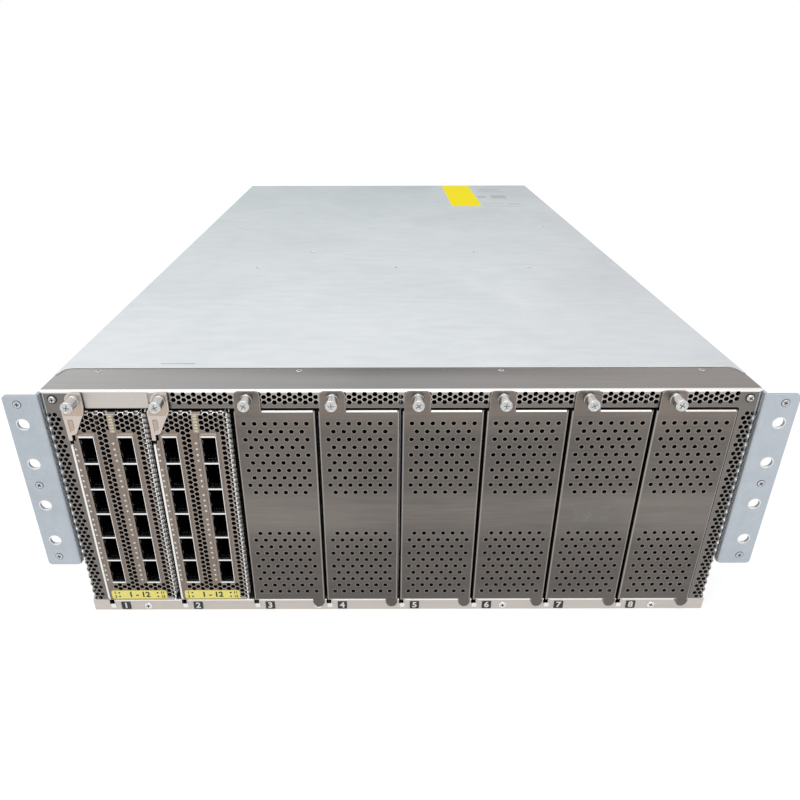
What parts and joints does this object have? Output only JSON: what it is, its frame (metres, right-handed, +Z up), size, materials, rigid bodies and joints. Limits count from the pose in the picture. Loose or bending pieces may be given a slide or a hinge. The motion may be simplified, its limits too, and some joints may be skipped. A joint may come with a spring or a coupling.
{
  "type": "modular chassis switch",
  "caption": "Rack-mounted sheet-steel network chassis with upright front slots, two line modules, blank panels, rack ears, and fan trays and power supplies at the back.",
  "frame": {"origin": "middle of the base of the whole box, from the thumb screws' heads to the back handles", "axes": "+X to the right of the slots, +Y into the depth, the slots face -Y, +Z up"},
  "size_m": [0.4826, 0.803, 0.1767],
  "materials": {
    "frame": "brushed nickel plate",
    "module": "plated sheet",
    "cover": "satin plated sheet",
    "zinc": "zinc plate",
    "rail": "satin",
    "nickel": "bright nickel",
    "cage": "bright stamped sheet",
    "bare_aluminium": "extruded",
    "lamp": "clear moulding",
    "board": "solder mask",
    "black_plastic": "moulded"
  },
  "bodies": {
    "chassis": {"chassis_shell": "zinc", "top_cover": "cover", "front_frame": "frame", "front_rail": "rail", "label_plate": "rail", "left_rack_ear": "zinc", "right_rack_ear": "zinc", "slot_dividers": "zinc", "midplane_board": "board", "midplane_connectors": "black_plastic", "fabric_board": "board", "heat_sinks": "bare_aluminium", "rear_frame": "frame", "power_shelf": "zinc", "management_panel": "frame"},
    "line_module_1": {"line_faceplate_1": "module", "line_carrier_1": "module", "light_pipe_1": "lamp", "line_board_1": "board", "riser_board_1": "board", "port_cage_1a": "cage", "port_cage_1b": "cage"},
    "ejector_1": {"ejector_lever_1": "module"},
    "line_module_2": {"line_faceplate_2": "module", "line_carrier_2": "module", "light_pipe_2": "lamp", "line_board_2": "board", "riser_board_2": "board", "port_cage_2a": "cage", "port_cage_2b": "cage"},
    "ejector_2": {"ejector_lever_2": "module"},
    "blank_3": {"blank_panel_3": "frame"},
    "blank_4": {"blank_panel_4": "frame"},
    "blank_5": {"blank_panel_5": "frame"},
    "blank_6": {"blank_panel_6": "frame"},
    "blank_7": {"blank_panel_7": "frame"},
    "blank_8": {"blank_panel_8": "frame"},
    "screw_1": {"thumb_screw_1": "nickel"},
    "screw_2": {"thumb_screw_2": "nickel"},
    "screw_3": {"thumb_screw_3": "nickel"},
    "screw_4": {"thumb_screw_4": "nickel"},
    "screw_5": {"thumb_screw_5": "nickel"},
    "screw_6": {"thumb_screw_6": "nickel"},
    "screw_7": {"thumb_screw_7": "nickel"},
    "screw_8": {"thumb_screw_8": "nickel"},
    "supply_1": {"power_supply_1": "zinc"},
    "supply_2": {"power_supply_2": "zinc"},
    "supply_3": {"power_supply_3": "zinc"},
    "supply_4": {"power_supply_4": "zinc"},
    "supply_5": {"power_supply_5": "zinc"},
    "supply_6": {"power_supply_6": "zinc"},
    "fan_1": {"fan_tray_1": "zinc"},
    "rotor_1": {"fan_rotor_1": "black_plastic"},
    "fan_2": {"fan_tray_2": "zinc"},
    "rotor_2": {"fan_rotor_2": "black_plastic"},
    "fan_3": {"fan_tray_3": "zinc"},
    "rotor_3": {"fan_rotor_3": "black_plastic"},
    "fan_4": {"fan_tray_4": "zinc"},
    "rotor_4": {"fan_rotor_4": "black_plastic"}
  },
  "joints": [
    {"name": "line_module_1_slide", "type": "slide", "parent": "chassis", "child": "line_module_1", "axis": [0, -1, 0], "range_m": [0, 0.29]},
    {"name": "ejector_1_swing", "type": "hinge", "parent": "line_module_1", "child": "ejector_1", "pos_m": [-0.2062, -0.38595, 0.1445], "axis": [1, 0, 0], "range_deg": [0, 70]},
    {"name": "line_module_2_slide", "type": "slide", "parent": "chassis", "child": "line_module_2", "axis": [0, -1, 0], "range_m": [0, 0.29]},
    {"name": "ejector_2_swing", "type": "hinge", "parent": "line_module_2", "child": "ejector_2", "pos_m": [-0.1542, -0.38595, 0.1445], "axis": [1, 0, 0], "range_deg": [0, 70]},
    {"name": "blank_3_slide", "type": "slide", "parent": "chassis", "child": "blank_3", "axis": [0, -1, 0], "range_m": [0, 0.05]},
    {"name": "blank_4_slide", "type": "slide", "parent": "chassis", "child": "blank_4", "axis": [0, -1, 0], "range_m": [0, 0.05]},
    {"name": "blank_5_slide", "type": "slide", "parent": "chassis", "child": "blank_5", "axis": [0, -1, 0], "range_m": [0, 0.05]},
    {"name": "blank_6_slide", "type": "slide", "parent": "chassis", "child": "blank_6", "axis": [0, -1, 0], "range_m": [0, 0.05]},
    {"name": "blank_7_slide", "type": "slide", "parent": "chassis", "child": "blank_7", "axis": [0, -1, 0], "range_m": [0, 0.05]},
    {"name": "blank_8_slide", "type": "slide", "parent": "chassis", "child": "blank_8", "axis": [0, -1, 0], "range_m": [0, 0.05]},
    {"name": "thumb_screw_1_turn", "type": "hinge", "parent": "ejector_1", "child": "screw_1", "pos_m": [-0.198, -0.38845, 0.1714], "axis": [0, -1, 0], "range_deg": [0, 1080]},
    {"name": "thumb_screw_2_turn", "type": "hinge", "parent": "ejector_2", "child": "screw_2", "pos_m": [-0.146, -0.38845, 0.1714], "axis": [0, -1, 0], "range_deg": [0, 1080]},
    {"name": "thumb_screw_3_turn", "type": "hinge", "parent": "blank_3", "child": "screw_3", "pos_m": [-0.094, -0.38845, 0.1714], "axis": [0, -1, 0], "range_deg": [0, 1080]},
    {"name": "thumb_screw_4_turn", "type": "hinge", "parent": "blank_4", "child": "screw_4", "pos_m": [-0.042, -0.38845, 0.1714], "axis": [0, -1, 0], "range_deg": [0, 1080]},
    {"name": "thumb_screw_5_turn", "type": "hinge", "parent": "blank_5", "child": "screw_5", "pos_m": [0.01, -0.38845, 0.1714], "axis": [0, -1, 0], "range_deg": [0, 1080]},
    {"name": "thumb_screw_6_turn", "type": "hinge", "parent": "blank_6", "child": "screw_6", "pos_m": [0.062, -0.38845, 0.1714], "axis": [0, -1, 0], "range_deg": [0, 1080]},
    {"name": "thumb_screw_7_turn", "type": "hinge", "parent": "blank_7", "child": "screw_7", "pos_m": [0.114, -0.38845, 0.1714], "axis": [0, -1, 0], "range_deg": [0, 1080]},
    {"name": "thumb_screw_8_turn", "type": "hinge", "parent": "blank_8", "child": "screw_8", "pos_m": [0.166, -0.38845, 0.1714], "axis": [0, -1, 0], "range_deg": [0, 1080]},
    {"name": "power_supply_1_slide", "type": "slide", "parent": "chassis", "child": "supply_1", "axis": [0, 1, 0], "range_m": [0, 0.3]},
    {"name": "power_supply_2_slide", "type": "slide", "parent": "chassis", "child": "supply_2", "axis": [0, 1, 0], "range_m": [0, 0.3]},
    {"name": "power_supply_3_slide", "type": "slide", "parent": "chassis", "child": "supply_3", "axis": [0, 1, 0], "range_m": [0, 0.3]},
    {"name": "power_supply_4_slide", "type": "slide", "parent": "chassis", "child": "supply_4", "axis": [0, 1, 0], "range_m": [0, 0.3]},
    {"name": "power_supply_5_slide", "type": "slide", "parent": "chassis", "child": "supply_5", "axis": [0, 1, 0], "range_m": [0, 0.3]},
    {"name": "power_supply_6_slide", "type": "slide", "parent": "chassis", "child": "supply_6", "axis": [0, 1, 0], "range_m": [0, 0.3]},
    {"name": "fan_tray_1_slide", "type": "slide", "parent": "chassis", "child": "fan_1", "axis": [0, 1, 0], "range_m": [0, 0.07]},
    {"name": "fan_rotor_1_spin", "type": "hinge", "parent": "fan_1", "child": "rotor_1", "pos_m": [-0.1605, 0.35155, 0.11], "axis": [0, 1, 0], "continuous": true},
    {"name": "fan_tray_2_slide", "type": "slide", "parent": "chassis", "child": "fan_2", "axis": [0, 1, 0], "range_m": [0, 0.07]},
    {"name": "fan_rotor_2_spin", "type": "hinge", "parent": "fan_2", "child": "rotor_2", "pos_m": [-0.0535, 0.35155, 0.11], "axis": [0, 1, 0], "continuous": true},
    {"name": "fan_tray_3_slide", "type": "slide", "parent": "chassis", "child": "fan_3", "axis": [0, 1, 0], "range_m": [0, 0.07]},
    {"name": "fan_rotor_3_spin", "type": "hinge", "parent": "fan_3", "child": "rotor_3", "pos_m": [0.0535, 0.35155, 0.11], "axis": [0, 1, 0], "continuous": true},
    {"name": "fan_tray_4_slide", "type": "slide", "parent": "chassis", "child": "fan_4", "axis": [0, 1, 0], "range_m": [0, 0.07]},
    {"name": "fan_rotor_4_spin", "type": "hinge", "parent": "fan_4", "child": "rotor_4", "pos_m": [0.1605, 0.35155, 0.11], "axis": [0, 1, 0], "continuous": true}
  ]
}
